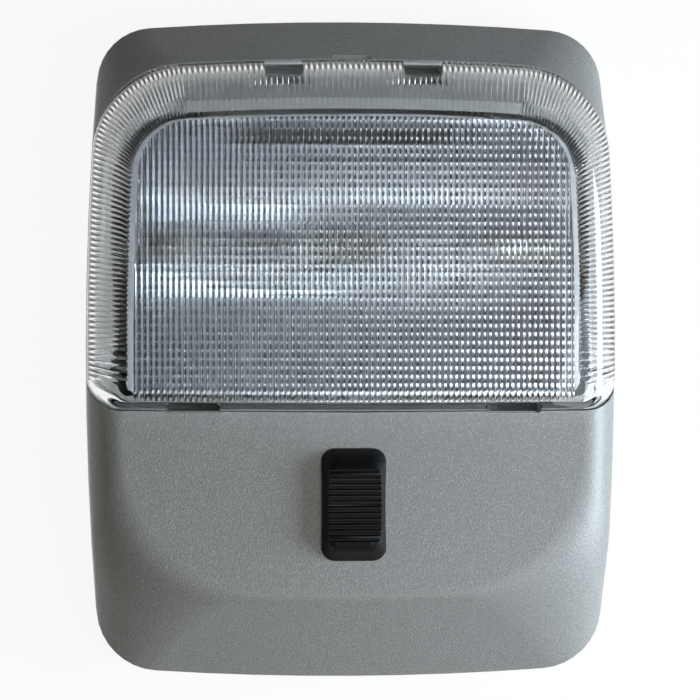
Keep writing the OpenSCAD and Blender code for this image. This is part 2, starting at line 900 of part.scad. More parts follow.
module supply_strip() {
    y = -base_end - slide_gap;
    top = base_top + strip_t;
    color([0.72, 0.71, 0.69]) {
        block(-rail_w / 2, rail_w / 2, y - strip_t, switch_y + carriage_l / 2 + travel, base_top, top);
        block(-blade_w / 2, blade_w / 2, y - strip_t, y + strip_t, base_top, top);
        block(-blade_w / 2, blade_w / 2, y - strip_t, y, blade_low, top);
    }
}

module contact_rivets() {
    top = strip_z + strip_t;
    color([0.75, 0.76, 0.78]) rivet_places() {
        bore(rivet_head_r, rivet_sunk, rivet_sunk + rivet_head_h);
        bore(rivet_r, rivet_sunk, top + rivet_head_h / 2);
        bore(rivet_head_r, top, top + rivet_head_h);
    }
}

module switch_base() {
    side = rail_x + rail_t;
    rail_start = base_start + rail_gap;
    color([0.13, 0.13, 0.14]) difference() {
        union() {
            block(-side, side, -base_end, -base_start, base_top - base_t, base_top);
            both_sides() {
                block(rail_x, side, -base_end, -rail_start, base_top - sink, carriage_top);
                block(side - sink, ear_x, switch_y - ear_r, switch_y + ear_r, base_top - base_t, base_top);
            }
            switch_screw_places() bore(ear_r, base_top - base_t, base_top);
        }
        switch_screw_places() bore(screw_r + lens_gap, base_top - base_t - sink, base_top + sink);
        for (i = [-1:1])
            translate([-rail_x + notch_deep, switch_y + i * notch_step, 0])
                bore(2 * notch_deep, base_top, high);
    }
}

module switch_screws() {
    length = 7;
    low = base_top - base_t - head_h;
    color([0.72, 0.73, 0.75]) switch_screw_places()
        translate([0, 0, low + head_h + length]) mirror([0, 0, 1]) screw(pilot_r - thread_gap, length);
}

// Rounded rectangle of width w and length l, as a thin slab at height z
module pad_level(w, l, r, z) {
    translate([0, 0, z]) linear_extrude(slab) hull()
        for (x = [-1, 1], y = [-1, 1]) translate([x * (w / 2 - r), y * (l / 2 - r)]) circle(r = r, $fn = 32);
}

module button_solid() {
    z = face_h + button_gap;
    crown_in_w = 3.4;
    crown_in_l = 8;
    hull() {
        pad_level(button_w, button_l, button_r, z);
        pad_level(button_w - 0.2, button_l - 0.3, button_r, z + 0.4);
        pad_level(button_w - 1.6, button_l - 2.6, button_r - 0.3, z + button_h * 0.55);
        pad_level(button_w - 2.6, button_l - 5.2, button_r - 0.7, z + button_h * 0.85);
        pad_level(button_w - crown_in_w, button_l - crown_in_l, button_r - 1, z + button_h - slab);
    }
}

// Hollow top of the button and its cross grooves
module button_dish() {
    centre = face_h + button_gap + button_h - dish_deep + dish_r;
    groove_l = button_w - 2 * groove_in;
    translate([0, 0, centre]) rotate([0, 90, 0]) bore(dish_r, -high / 2, high / 2, 180);
    for (i = [-(groove_n - 1) / 2:(groove_n - 1) / 2]) {
        y = i * groove_pitch;
        translate([0, y, centre - sqrt(dish_r * dish_r - y * y)])
            rotate([0, 90, 0]) bore(groove_r, -groove_l / 2, groove_l / 2, 24);
    }
}

module slide_button() {
    pocket = carriage_top - pocket_deep;
    color([0.07, 0.07, 0.075]) translate([0, switch_y, 0]) {
        difference() {
            button_solid();
            button_dish();
            both_sides() translate([button_w / 2 - button_waist + waist_r, 0, 0])
                bore(waist_r, 0, high, 720);
        }
        block(-stem_w / 2, stem_w / 2, -stem_l / 2, stem_l / 2,
            pocket + stem_fit, face_h + button_gap + sink);
        block(-stem_w / 2 - clip_out, stem_w / 2 + clip_out, -clip_half, clip_half,
            pocket + clip_z, pocket + clip_z + clip_h);
    }
}

module slide_carriage() {
    pocket = carriage_top - pocket_deep;
    half_w = stem_w / 2 + stem_fit;
    half_l = stem_l / 2 + stem_fit;
    clip_fit = 0.1;
    clip_x = stem_w / 2 + clip_out + clip_fit;
    clip_y = clip_half + 2 * clip_fit;
    color([0.88, 0.87, 0.83]) translate([0, switch_y, 0]) difference() {
        union() {
            block(-carriage_w / 2, carriage_w / 2, -carriage_l / 2, carriage_l / 2,
                carriage_low, carriage_top);
            peg_places() bore(peg_r, carriage_low - bridge_t - peg_out, carriage_low + peg_out);
        }
        block(-half_w, half_w, -half_l, half_l, pocket, high);
        block(-clip_x, clip_x, -clip_y, clip_y,
            pocket + clip_z - clip_fit, pocket + clip_z + clip_h + clip_fit);
        block(-carriage_w / 2 - sink, -leaf_reach + leaf_rise + leaf_t, -leaf_half - leaf_gap,
            leaf_half + leaf_gap, carriage_low - sink, carriage_low + leaf_h + 2 * leaf_low);
    }
}

module peg_places() {
    both_sides() translate([peg_x, peg_y, 0]) children();
}

// Sprung foot of the bridge: a strip that slopes down to the rail and turns up at its toe
module bridge_foot() {
    low = base_top + strip_t + 0.04;
    root = carriage_low - bridge_t / 2;
    toe = 1.2;
    rotate([90, 0, 90]) linear_extrude(foot_w)
        polygon([[-bridge_half, root], [-bridge_half, root - bridge_t], [-peg_out, low], [bridge_t, low],
            [toe, low + 0.5], [toe, low + 0.5 + bridge_t], [peg_out, low + bridge_t], [-0.1, low + bridge_t],
            [-bridge_half + bridge_t, root]]);
}

module contact_bridge() {
    color([0.72, 0.45, 0.28]) translate([0, switch_y, 0]) difference() {
        union() {
            block(-foot_x - foot_w / 2, foot_x + foot_w / 2, -bridge_half, bridge_half,
                carriage_low - bridge_t, carriage_low);
            for (x = [-foot_x, 0, foot_x]) translate([x - foot_w / 2, 0, 0]) bridge_foot();
        }
        peg_places() bore(peg_r + stem_fit, carriage_low - sink, carriage_low + sink);
    }
}

module detent_spring() {
    color([0.75, 0.76, 0.78]) translate([-leaf_reach + leaf_r, switch_y, carriage_low + leaf_low])
        linear_extrude(leaf_h) intersection() {
            difference() {
                circle(r = leaf_r, $fn = 120);
                circle(r = leaf_r - leaf_t, $fn = 120);
            }
            translate([-leaf_r - sink, -leaf_half]) square([leaf_rise + sink + clip_out, 2 * leaf_half]);
        }
}

housing();
lens();
reflector();
reflector_screws();
left_bulb_glass();
left_bulb_caps();
left_bulb_filament();
right_bulb_glass();
right_bulb_caps();
right_bulb_filament();
left_contact_strip();
right_contact_strip();
centre_contact_strip();
supply_strip();
contact_rivets();
switch_base();
switch_screws();
slide_button();
slide_carriage();
contact_bridge();
detent_spring();
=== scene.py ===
"""Looks of the car interior lamp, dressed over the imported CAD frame."""
import math

import bmesh
import bpy
import numpy as np
from mathutils import Matrix, Vector


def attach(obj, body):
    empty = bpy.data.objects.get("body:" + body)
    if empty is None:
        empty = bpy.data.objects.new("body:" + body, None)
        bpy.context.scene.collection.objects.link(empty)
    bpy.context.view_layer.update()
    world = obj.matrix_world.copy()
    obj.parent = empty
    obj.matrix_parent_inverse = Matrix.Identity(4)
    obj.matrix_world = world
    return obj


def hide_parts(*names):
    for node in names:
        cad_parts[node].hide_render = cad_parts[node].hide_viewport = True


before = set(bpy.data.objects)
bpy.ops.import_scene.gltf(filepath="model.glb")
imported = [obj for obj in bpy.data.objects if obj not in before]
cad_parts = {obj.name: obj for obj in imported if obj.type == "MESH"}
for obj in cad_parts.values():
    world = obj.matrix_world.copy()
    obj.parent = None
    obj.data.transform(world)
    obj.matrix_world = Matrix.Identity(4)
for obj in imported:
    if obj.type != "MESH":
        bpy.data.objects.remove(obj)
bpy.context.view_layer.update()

# Driving sizes, in millimetres and degrees, as in the part's source
HALF_W = 54.0
HALF_L = 66.8
FACE_H = 24.0
SIDE_R = 680.0
END_R = 585.0
LOW_END_R = 3000.0
CORNER_R = 11.4
CORNER_LOW_R = 12.9
CORNER_GROW = 0.9
SIDE_ANGLE = 88.5
SIDE_EDGE_R = 7.0
END_SLOPE = 38.5
END_EDGE_R = 4.5
END_WALL_H = 11.0

LENS_LOW = 12.6
LENS_H = 28.5
RIM_H = 17.5
LENS_T = 2.0
LENS_LOW_T = 1.2
BORDER_SIDE = 6.3
BORDER_TOP = 9.6
BORDER_LOW = 0.6
LENS_LOW_R = 6.4
PANEL_R = 13.6
PANEL_LOW_R = 1.2
LENS_RISE = LENS_H - RIM_H

# The scene is in metres
MM = 0.001
WELD_M = 2e-6

# Least corner radius, and how far a tool reaches past what it cuts or joins
LEAST_R = 1.0
OVERLAP = 1.0

# Points on a quarter of an outline: its side, its corner and its end
UPPER_COUNTS = (20, 24, 16)
LOWER_COUNTS = (4, 10, 12)

# How near the true outside a face lies, and which way it looks, to take the outside's normal
FACE_BAND = 0.03
BACK_BAND = 0.001
SKIN_BAND = 0.06
LOOKS_UP = 0.99
LOOKS_DOWN = -0.5
NORMAL_STEP = 0.02


def edge_inset(z, start, angle, radius):
    """How far a wall has come in at height z: it rises at the angle and turns into the face."""
    slope = math.radians(angle)
    centre = (radius + math.cos(slope) * (FACE_H - radius - start)) / math.sin(slope)
    turn = FACE_H - radius + radius * math.cos(slope)
    if z < turn:
        return max(0.0, z - start) / math.tan(slope)
    return centre - math.sqrt(max(0.0, radius ** 2 - (z - FACE_H + radius) ** 2))


def body_shape(z):
    """Half width, upper and lower half length, upper and lower corner radius and lower end radius."""
    side = edge_inset(z, 0.0, SIDE_ANGLE, SIDE_EDGE_R)
    end = edge_inset(z, END_WALL_H, END_SLOPE, END_EDGE_R)
    grow = CORNER_GROW * end
    return HALF_W - side, HALF_L - end, HALF_L - end, CORNER_R + grow, CORNER_LOW_R + grow, END_R


RIM_SIDE = HALF_W - edge_inset(RIM_H, 0.0, SIDE_ANGLE, SIDE_EDGE_R)
RIM_TOP = HALF_L - edge_inset(RIM_H, END_WALL_H, END_SLOPE, END_EDGE_R)
RIM_R = CORNER_R + CORNER_GROW * (HALF_L - RIM_TOP)


def lens_shape(share, inset=0.0, low_inset=0.0):
    """Outline of the lens at a share of its border, drawn in by inset, and by low_inset below."""
    return (
        RIM_SIDE - BORDER_SIDE * share - inset,
        RIM_TOP - BORDER_TOP * share - inset,
        LENS_LOW - BORDER_LOW * share - low_inset,
        RIM_R + (PANEL_R - RIM_R) * share - inset,
        max(LEAST_R, LENS_LOW_R + (PANEL_LOW_R - LENS_LOW_R) * share - low_inset),
        LOW_END_R,
    )


def corner(a, b, r, end_r):
    """Centres of the side, the end and the corner arc of a quarter outline, and the corner's limits."""
    side = np.array([a - SIDE_R, 0.0])
    end = np.array([0.0, b - end_r])
    side_reach = SIDE_R - r
    end_reach = end_r - r
    gap = np.hypot(*(end - side))
    toward = (end - side) / gap
    along = (side_reach ** 2 - end_reach ** 2 + gap ** 2) / (2 * gap)
    across = math.sqrt(side_reach ** 2 - along ** 2)
    middle = side + along * toward
    square = across * np.array([toward[1], -toward[0]])
    centre = max([middle + square, middle - square], key=lambda p: p[0])
    low = math.atan2(*(centre - side)[::-1])
    high = math.atan2(*(centre - end)[::-1])
    return side, end, centre, low, high


def arc(centre, radius, start, stop, n):
    """n points of an arc, without its last one."""
    angles = start + (stop - start) * np.arange(n) / n
    return centre + radius * np.stack([np.cos(angles), np.sin(angles)], 1)


def quarter(a, b, r, end_r, counts):
    """Quarter outline from the middle of the side to the middle of the end."""
    side, end, centre, low, high = corner(a, b, r, end_r)
    points = [
        arc(side, SIDE_R, 0.0, low, counts[0]),
        arc(centre, r, low, high, counts[1]),
        arc(end, end_r, high, math.pi / 2, counts[2]),
        [[0.0, b]],
    ]
    return np.concatenate(points)


def outline(shape, upper, lower):
    """Closed outline, anticlockwise from the middle of the lower end. Counts are for one quarter."""
    a, top, low, r_top, r_low, low_end_r = shape
    up = quarter(a, top, r_top, END_R, upper)
    down = (quarter(a, low, r_low, low_end_r, lower) * [1, -1])[::-1]
    right = np.concatenate([down, up[1:]])
    left = (right * [-1, 1])[::-1]
    return np.concatenate([right, left[1:-1]])


def outline_distance(shape, x, y):
    """Distance of a point outside the outline, negative inside."""
    a, top, low, r_top, r_low, low_end_r = shape
    b, r, end_r = (top, r_top, END_R) if y >= 0 else (low, r_low, low_end_r)
    side, end, centre, first, last = corner(a, b, r, end_r)
    p = np.array([abs(x), abs(y)])
    if math.atan2(*(p - side)[::-1]) < first:
        return np.hypot(*(p - side)) - SIDE_R
    if math.atan2(*(p - end)[::-1]) > last:
        return np.hypot(*(p - end)) - end_r
    return np.hypot(*(p - centre)) - r


def body_distance(p):
    """Distance of a point outside the housing's rounded outside, measured level."""
    return outline_distance(body_shape(min(p[2], FACE_H)), p[0], p[1])


def new_object(name, verts, faces):
    mesh = bpy.data.meshes.new(name)
    mesh.from_pydata([tuple(v) for v in np.asarray(verts) * MM], [], faces)
    mesh.update()
    obj = bpy.data.objects.new(name, mesh)
    bpy.context.scene.collection.objects.link(obj)
    return obj


def stacked(name, rings):
    """Closed solid through equal rings of points, with a flat cap on each end."""
    n = len(rings[0])
    faces = []
    for k in range(len(rings) - 1):
        for i in range(n):
            j = (i + 1) % n
            faces.append((k * n + i, k * n + j, (k + 1) * n + j, (k + 1) * n + i))
    faces.append(tuple(reversed(range(n))))
    faces.append(tuple(range((len(rings) - 1) * n, len(rings) * n)))
    return new_object(name, np.concatenate(rings), faces)


def at_height(points, z):
    return np.column_stack([points, np.full(len(points), z)])


def prism(name, points, z0, z1):
    """Upright solid on an outline."""
    return stacked(name, [at_height(points, z0), at_height(points, z1)])


def block(name, low, high):
    """Box between two corners."""
    (x0, y0, z0), (x1, y1, z1) = low, high
    return prism(name, np.array([[x0, y0], [x1, y0], [x1, y1], [x0, y1]], float), z0, z1)


def combine(obj, tool, operation):
    """Boolean of obj with tool, which is used up."""
    modifier = obj.modifiers.new("combine", "BOOLEAN")
    modifier.operation = operation
    modifier.solver = "MANIFOLD"
    modifier.object = tool
    graph = bpy.context.evaluated_depsgraph_get()
    result = bpy.data.meshes.new_from_object(obj.evaluated_get(graph))
    obj.modifiers.clear()
    obj.data = result
    bpy.data.objects.remove(tool)
    return obj


def smooth_all(mesh):
    mesh.polygons.foreach_set("use_smooth", [True] * len(mesh.polygons))


def shade(obj, angle):
    """Smooth shading with sharp edges over the angle."""
    smooth_all(obj.data)
    obj.data.set_sharp_from_angle(angle=math.radians(angle))


def take_over(obj, node, body, material):
    """obj stands for the CAD node, on its body and in its material."""
    obj.data.materials.clear()
    obj.data.materials.append(material)
    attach(obj, body)
    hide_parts(node)


def welded_copy(node):
    """Copy of a CAD node with its faces joined."""
    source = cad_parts[node]
    mesh = source.data.copy()
    mesh.materials.clear()
    work = bmesh.new()
    work.from_mesh(mesh)
    bmesh.ops.remove_doubles(work, verts=work.verts, dist=WELD_M)
    work.to_mesh(mesh)
    work.free()
    if mesh.has_custom_normals:
        with bpy.context.temp_override(object=source):
            mesh.normals_split_custom_set([(0, 0, 0)] * len(mesh.loops))
    obj = bpy.data.objects.new(node + "_look", mesh)
    bpy.context.scene.collection.objects.link(obj)
    return obj


# Materials

# Detail of the noises, the noise values where a painted glint speck starts and is full, and the share of
# lamp light that a clear piece lets through
GRAIN_DETAIL = 2.0
GLINT_PAINT_DETAIL = 1.0
GLINT_PAINT_FROM = 0.48
GLINT_PAINT_FULL = 0.78
SHADOW_CLEAR = 0.9


def principled(name, color, roughness, **sockets):
    material = bpy.data.materials.new(name)
    material.use_nodes = True
    shader = material.node_tree.nodes["Principled BSDF"]
    shader.inputs["Base Color"].default_value = (*color, 1.0)
    shader.inputs["Roughness"].default_value = roughness
    for key, value in sockets.items():
        shader.inputs[key.replace("_", " ")].default_value = value
    return material


def object_noise(tree, scale, detail):
    """Output of a noise in object space."""
    coords = tree.nodes.new("ShaderNodeTexCoord")
    noise = tree.nodes.new("ShaderNodeTexNoise")
    noise.inputs["Scale"].default_value = scale
    noise.inputs["Detail"].default_value = detail
    tree.links.new(coords.outputs["Object"], noise.inputs["Vector"])
    return noise.outputs["Fac"]


def add_grain(material, scale, strength, distance):
    """Fine leather-like grain, as a bump."""
    tree = material.node_tree
    bump = tree.nodes.new("ShaderNodeBump")
    bump.inputs["Strength"].default_value = strength
    bump.inputs["Distance"].default_value = distance
    tree.links.new(object_noise(tree, scale, GRAIN_DETAIL), bump.inputs["Height"])
    tree.links.new(bump.outputs["Normal"], tree.nodes["Principled BSDF"].inputs["Normal"])


def add_painted_glints(material, scale, dark, light):
    """Small light specks over the darker ground: painted highlights that stand for the grain's sparkle.
    """
    tree = material.node_tree
    ramp = tree.nodes.new("ShaderNodeValToRGB")
    for stop, position, color in zip(ramp.color_ramp.elements, (GLINT_PAINT_FROM, GLINT_PAINT_FULL), (dark, light)):
        stop.position = position
        stop.color = (*color, 1.0)
    tree.links.new(object_noise(tree, scale, GLINT_PAINT_DETAIL), ramp.inputs["Fac"])
    tree.links.new(ramp.outputs["Color"], tree.nodes["Principled BSDF"].inputs["Base Color"])


def clear_plastic(name, color, ior):
    """Clear plastic or glass, through which lamp light reaches what it covers in a straight line."""
    material = bpy.data.materials.new(name)
    material.use_nodes = True
    tree = material.node_tree
    shader = tree.nodes["Principled BSDF"]
    shader.inputs["Base Color"].default_value = (*color, 1.0)
    shader.inputs["Roughness"].default_value = 0.0
    shader.inputs["IOR"].default_value = ior
    shader.inputs["Transmission Weight"].default_value = 1.0
    clear = tree.nodes.new("ShaderNodeBsdfTransparent")
    clear.inputs["Color"].default_value = (*[SHADOW_CLEAR * c for c in color], 1.0)
    paths = tree.nodes.new("ShaderNodeLightPath")
    mix = tree.nodes.new("ShaderNodeMixShader")
    out = tree.nodes["Material Output"]
    tree.links.new(paths.outputs["Is Shadow Ray"], mix.inputs["Fac"])
    tree.links.new(shader.outputs[0], mix.inputs[1])
    tree.links.new(clear.outputs[0], mix.inputs[2])
    tree.links.new(mix.outputs[0], out.inputs["Surface"])
    return material


grey = principled("grained grey plastic", (0.25, 0.25, 0.242), 0.42, Specular_IOR_Level=0.7)
add_grain(grey, scale=2300.0, strength=0.24, distance=0.0003)
# The light specks in the grey are painted sparkle highlights, not a colour of the plastic
add_painted_glints(grey, scale=3600.0, dark=(0.238, 0.237, 0.229), light=(0.37, 0.37, 0.355))
clear = clear_plastic("clear lens plastic", (0.97, 0.98, 0.985), 1.52)
bright = principled("bright reflector sheet", (0.60, 0.62, 0.66), 0.4, Metallic=1.0)
steel = principled("plated screw", (0.62, 0.61, 0.58), 0.35, Metallic=1.0)
glass = clear_plastic("bulb glass", (0.98, 0.98, 0.98), 1.5)
nickel = principled("bulb cap", (0.68, 0.66, 0.62), 0.3, Metallic=1.0)
wire = principled("filament wire", (0.35, 0.33, 0.31), 0.45, Metallic=1.0)
plated = principled("contact strip", (0.52, 0.51, 0.49), 0.4, Metallic=1.0)
alloy = principled("rivet", (0.72, 0.73, 0.75), 0.4, Metallic=1.0)
black = principled("black moulding", (0.02, 0.02, 0.021), 0.5)
button_black = principled("button", (0.004, 0.004, 0.0043), 0.44, Specular_IOR_Level=0.24)
natural = principled("carriage plastic", (0.72, 0.70, 0.62), 0.5)
bronze = principled("bridge strip", (0.72, 0.44, 0.26), 0.35, Metallic=1.0)
spring = principled("leaf spring", (0.6, 0.6, 0.6), 0.3, Metallic=1.0)


# Housing: the CAD solid, with the true normals of its rounded outside


def on_body_skin(points, normal):
    """Whether a face is part of the housing's rounded outside."""
    if points[:, 2].min() > FACE_H - FACE_BAND:
        return normal[2] > LOOKS_UP
    if normal[2] < LOOKS_DOWN or points[:, 2].max() < BACK_BAND:
        return False
    return max(abs(body_distance(p)) for p in points) < SKIN_BAND


def skin_normal(p):
    """Unit normal of the housing's rounded outside at a point on it."""
    if p[2] > FACE_H - FACE_BAND:
        return np.array([0.0, 0.0, 1.0])
    slope = [body_distance(p + step) - body_distance(p - step) for step in np.eye(3) * NORMAL_STEP]
    return np.array(slope) / np.linalg.norm(slope)


def dress_housing():
    obj = welded_copy("housing")
    mesh = obj.data
    smooth_all(mesh)
    places = np.array([v.co for v in mesh.vertices]) / MM
    cache = {}
    normals = [None] * len(mesh.loops)
    for face in mesh.polygons:
        points = places[list(face.vertices)]
        flat = np.array(face.normal)
        outside = on_body_skin(points, flat)
        for corner_index, vertex in zip(face.loop_indices, face.vertices):
            if not outside:
                normals[corner_index] = flat
                continue
            if vertex not in cache:
                cache[vertex] = skin_normal(places[vertex])
            normals[corner_index] = cache[vertex]
    mesh.normals_split_custom_set(normals)
    take_over(obj, "housing", "housing", grey)


dress_housing()

# Lens: smooth outside, fluted border and ribbed panel inside

LENS_RINGS = 16
LENS_SHARP = 32
FLUTE_PITCH = 1.12
FLUTE_IN = 0.15
FLUTE_DROP = 0.22
FLUTE_STEPS = 6
FLUTE_ANGLES = (0, 12, 24, 36, 48, 60, 72, 82, 88, 90)
RIB_PITCH = 1.13
RIB_DEPTH = 0.5
RIB_STEPS = 6
CROSS_PITCH = 1.7
CROSS_DEPTH = 0.1
CROSS_STEPS = 4
PANEL_STEP = 0.2
PANEL_MARGIN = 0.8
TRIM_IN = 0.3
TRIM_END_IN = 0.2
TRIM_CORNER_IN = 0.6
TRIM_BELOW = 0.5
TRIM_LOWER_COUNTS = (4, 6, 12)


def outer_lens():
    """Lens as a full solid, its border a quarter of an ellipse."""
    rings = []
    for angle in np.radians(np.linspace(0, 90, LENS_RINGS)):
        shape = lens_shape(1 - math.cos(angle))
        z = RIM_H + LENS_RISE * math.sin(angle)
        rings.append(at_height(outline(shape, UPPER_COUNTS, LOWER_COUNTS), z))
    return stacked("lens_look", rings)


def fluted_ring(angle, z):
    """Inner outline whose wall swells into one rounded rib for each flute's pitch, square to the wall."""
    lengths = (RIM_TOP - RIM_R, RIM_R * math.pi / 2, RIM_SIDE - RIM_R)
    low_side = LENS_LOW - LENS_LOW_R
    upper = [FLUTE_STEPS * round(length / FLUTE_PITCH) for length in lengths]
    lower = [FLUTE_STEPS * round(low_side / FLUTE_PITCH), *LOWER_COUNTS[1:]]
    share = 1 - math.cos(angle)
    wide = outline(lens_shape(share, LENS_T, LENS_LOW_T), upper, lower)
    narrow = outline(lens_shape(share, LENS_T + FLUTE_IN * math.cos(angle), LENS_LOW_T), upper, lower)
    start = lower[1] + lower[2]
    phase = ((np.arange(len(wide)) - start) % FLUTE_STEPS) / FLUTE_STEPS
    swell = 1 - (2 * phase - 1) ** 2
    swell[wide[:, 1] < -low_side] = 0
    drop = FLUTE_DROP * math.sin(angle) if angle < math.pi / 2 else 0.0
    return np.column_stack([wide + (narrow - wide) * swell[:, None], z - drop * swell])


def lens_void():
    """Solid of the lens's inner room, down past its rim."""
    rise = LENS_RISE - LENS_T
    rings = [fluted_ring(0.0, RIM_H - OVERLAP)]
    for angle in np.radians(FLUTE_ANGLES):
        rings.append(fluted_ring(angle, RIM_H + rise * math.sin(angle)))
    return stacked("lens_void", rings)


def under_grid(name, x, y, heights, bottom):
    """Closed solid under a grid of heights, with upright sides and a flat bottom."""
    columns, rows = len(x), len(y)
    gx, gy = np.meshgrid(x, y)
    upper = np.stack([gx, gy, heights], 2).reshape(-1, 3)
    faces = []
    for r in range(rows - 1):
        for c in range(columns - 1):
            k = r * columns + c
            faces.append((k, k + 1, k + columns + 1, k + columns))
    edge = list(range(columns))
    edge += [r * columns + columns - 1 for r in range(1, rows)]
    edge += [(rows - 1) * columns + c for c in range(columns - 2, -1, -1)]
    edge += [r * columns for r in range(rows - 2, 0, -1)]
    low_points = upper[sorted(edge)]
    low_points[:, 2] = bottom
    below = {k: len(upper) + i for i, k in enumerate(sorted(edge))}
    for a, b in zip(edge, edge[1:] + edge[:1]):
        faces.append((b, a, below[a], below[b]))
    faces.append(tuple(below[k] for k in reversed(edge)))
    return new_object(name, np.concatenate([upper, low_points]), faces)


def panel_relief():
    """Cut in the panel's inner face: a shallow step, then a rounded rib for each pitch both ways."""
    half = RIM_SIDE - BORDER_SIDE
    n = int(half / RIB_PITCH) + 1
    x = np.arange(-n * RIB_STEPS, n * RIB_STEPS + 1) * RIB_PITCH / RIB_STEPS
    rows = int((RIM_TOP - BORDER_TOP + LENS_LOW) / CROSS_PITCH * CROSS_STEPS) + 1
    y = -LENS_LOW + np.arange(rows + 1) * CROSS_PITCH / CROSS_STEPS
    across = (2 * ((x / RIB_PITCH) % 1) - 1) ** 2
    along = (2 * ((y / CROSS_PITCH) % 1) - 1) ** 2
    base = LENS_H - LENS_T
    heights = base + PANEL_STEP + RIB_DEPTH * across[None, :] + CROSS_DEPTH * along[:, None]
    relief = under_grid("panel_relief", x, y, heights, base - OVERLAP)
    a, top, low, r_top, r_low, low_end_r = lens_shape(1.0, LENS_T + TRIM_IN, LENS_LOW_T)
    halves = (a - PANEL_MARGIN, top - TRIM_END_IN, low - TRIM_END_IN)
    radii = (r_top - TRIM_CORNER_IN, r_low, low_end_r)
    edge = outline(halves + radii, UPPER_COUNTS, TRIM_LOWER_COUNTS)
    trim = prism("trim", edge, base - TRIM_BELOW, LENS_H + OVERLAP)
    return combine(relief, trim, "INTERSECT")


# Snap legs at the lens's top, tabs at its low end, and the windows through it over both

WINDOW_X = 14.0
WINDOW_W = 7.6
WINDOW_L = 2.0
WINDOW_IN = 1.5
WINDOW_TOP = RIM_TOP - WINDOW_IN
WINDOW_UP = 5.0
LOW_WINDOW_X = 32.2
LOW_WINDOW_W = 10.4
LOW_WINDOW_END = 1.5
LOW_WINDOW_DEEP = 3.2
LEG_T = 1.3
LEG_LOW = 11.4
BARB_H = 1.8
BARB_EDGE = 0.6
TAB_DEEP = 4.5

# Play of a leg or tab in its pocket, and how far apart faces stay that would lie in one plane
FIT = 0.4
SLIVER = 0.1


def lens_leg(side):
    """Snap leg under a top window, with its barb outwards."""
    y = WINDOW_TOP - WINDOW_L
    share = (RIM_TOP - y) / BORDER_TOP
    top = RIM_H + LENS_RISE * math.sqrt(1 - (1 - share) ** 2) - OVERLAP
    barb = WINDOW_TOP - SLIVER
    barb_top = LEG_LOW + BARB_H
    profile = [
        (y - LEG_T, LEG_LOW),
        (y, LEG_LOW),
        (barb, barb_top - BARB_EDGE),
        (barb, barb_top),
        (y, barb_top),
        (y, top),
        (y - LEG_T, top),
    ]
    half = (WINDOW_W - FIT) / 2
    rings = []
    for x in (side * WINDOW_X - half, side * WINDOW_X + half):
        rings.append(np.array([(x, py, pz) for py, pz in profile]))
    return stacked("leg", rings)


def low_tab(side):
    """Tab down from the low wall, under a low window."""
    x = side * LOW_WINDOW_X
    half = (LOW_WINDOW_W - FIT) / 2
    low = (x - half, -LENS_LOW, RIM_H - TAB_DEEP)
    return block("tab", low, (x + half, -LENS_LOW + LENS_LOW_T, RIM_H + OVERLAP))


def top_window(side):
    x = side * WINDOW_X
    low = (x - WINDOW_W / 2, WINDOW_TOP - WINDOW_L - SLIVER, RIM_H - OVERLAP)
    return block("window", low, (x + WINDOW_W / 2, WINDOW_TOP, LENS_H + WINDOW_UP))


def low_window(side):
    x = side * LOW_WINDOW_X
    low = (x - LOW_WINDOW_W / 2, -LENS_LOW + SLIVER, LENS_H - LOW_WINDOW_DEEP)
    return block("window", low, (x + LOW_WINDOW_W / 2, -LENS_LOW + LOW_WINDOW_END, LENS_H + WINDOW_UP))


def dress_lens():
    void = combine(lens_void(), panel_relief(), "UNION")
    lens = combine(outer_lens(), void, "DIFFERENCE")
    for side in (-1, 1):
        combine(lens, lens_leg(side), "UNION")
        combine(lens, low_tab(side), "UNION")
    for side in (-1, 1):
        combine(lens, top_window(side), "DIFFERENCE")
        combine(lens, low_window(side), "DIFFERENCE")
    shade(lens, LENS_SHARP)
    take_over(lens, "lens", "lens", clear)


dress_lens()

# The other pieces keep the CAD solids, welded and smoothly shaded

# Material, slot and angle in degrees over which an edge is sharp, for each node
PLAIN = {
    "reflector": (bright, "bright_sheet", 22),
    "reflector_screws": (steel, "screw_steel", 30),
    "left_bulb_glass": (glass, "bulb_glass", 40),
    "left_bulb_caps": (nickel, "bulb_cap", 30),
    "left_bulb_filament": (wire, "filament_wire", 30),
    "right_bulb_glass": (glass, "bulb_glass", 40),
    "right_bulb_caps": (nickel, "bulb_cap", 30),
    "right_bulb_filament": (wire, "filament_wire", 30),
    "left_contact_strip": (plated, "contact_plated", 30),
    "right_contact_strip": (plated, "contact_plated", 30),
    "centre_contact_strip": (plated, "contact_plated", 30),
    "supply_strip": (plated, "contact_plated", 30),
    "contact_rivets": (alloy, "rivet_metal", 30),
    "switch_base": (black, "switch_black", 30),
    "switch_screws": (steel, "screw_steel", 30),
    "slide_button": (button_black, "button_black", 18),
    "slide_carriage": (natural, "carriage_white", 30),
    "contact_bridge": (bronze, "bridge_metal", 30),
    "detent_spring": (spring, "spring_steel", 30),
}
SLIDER = ("slide_button", "slide_carriage", "contact_bridge", "detent_spring")

for node, (material, slot_name, angle) in PLAIN.items():
    look = welded_copy(node)
    shade(look, angle)
    take_over(look, node, "slider" if node in SLIDER else "housing", material)


# Floor: a wide white tray with its edge turned up

FLOOR_HALF = 5500.0
FLOOR_EDGE = 500.0
FLOOR_RISE = 900.0
FLOOR_Z = -0.05
FLOOR_WHITE = 0.9
FLOOR_ROUGHNESS = 0.9
FLOOR_GLOW = 1.0
GLOW_SHARE = 0.92


def floor_ring(half, z):
    return [(-half, -half, z), (half, -half, z), (half, half, z), (-half, half, z)]


def math_node(tree, operation, first, second):
    """Output of a math node on two values, each an output of a node or a number."""
    node = tree.nodes.new("ShaderNodeMath")
    node.operation = operation
    for socket, value in zip(node.inputs, (first, second)):
        if isinstance(value, float):
            socket.default_value = value
        else:
            tree.links.new(value, socket)
    return node.outputs[0]


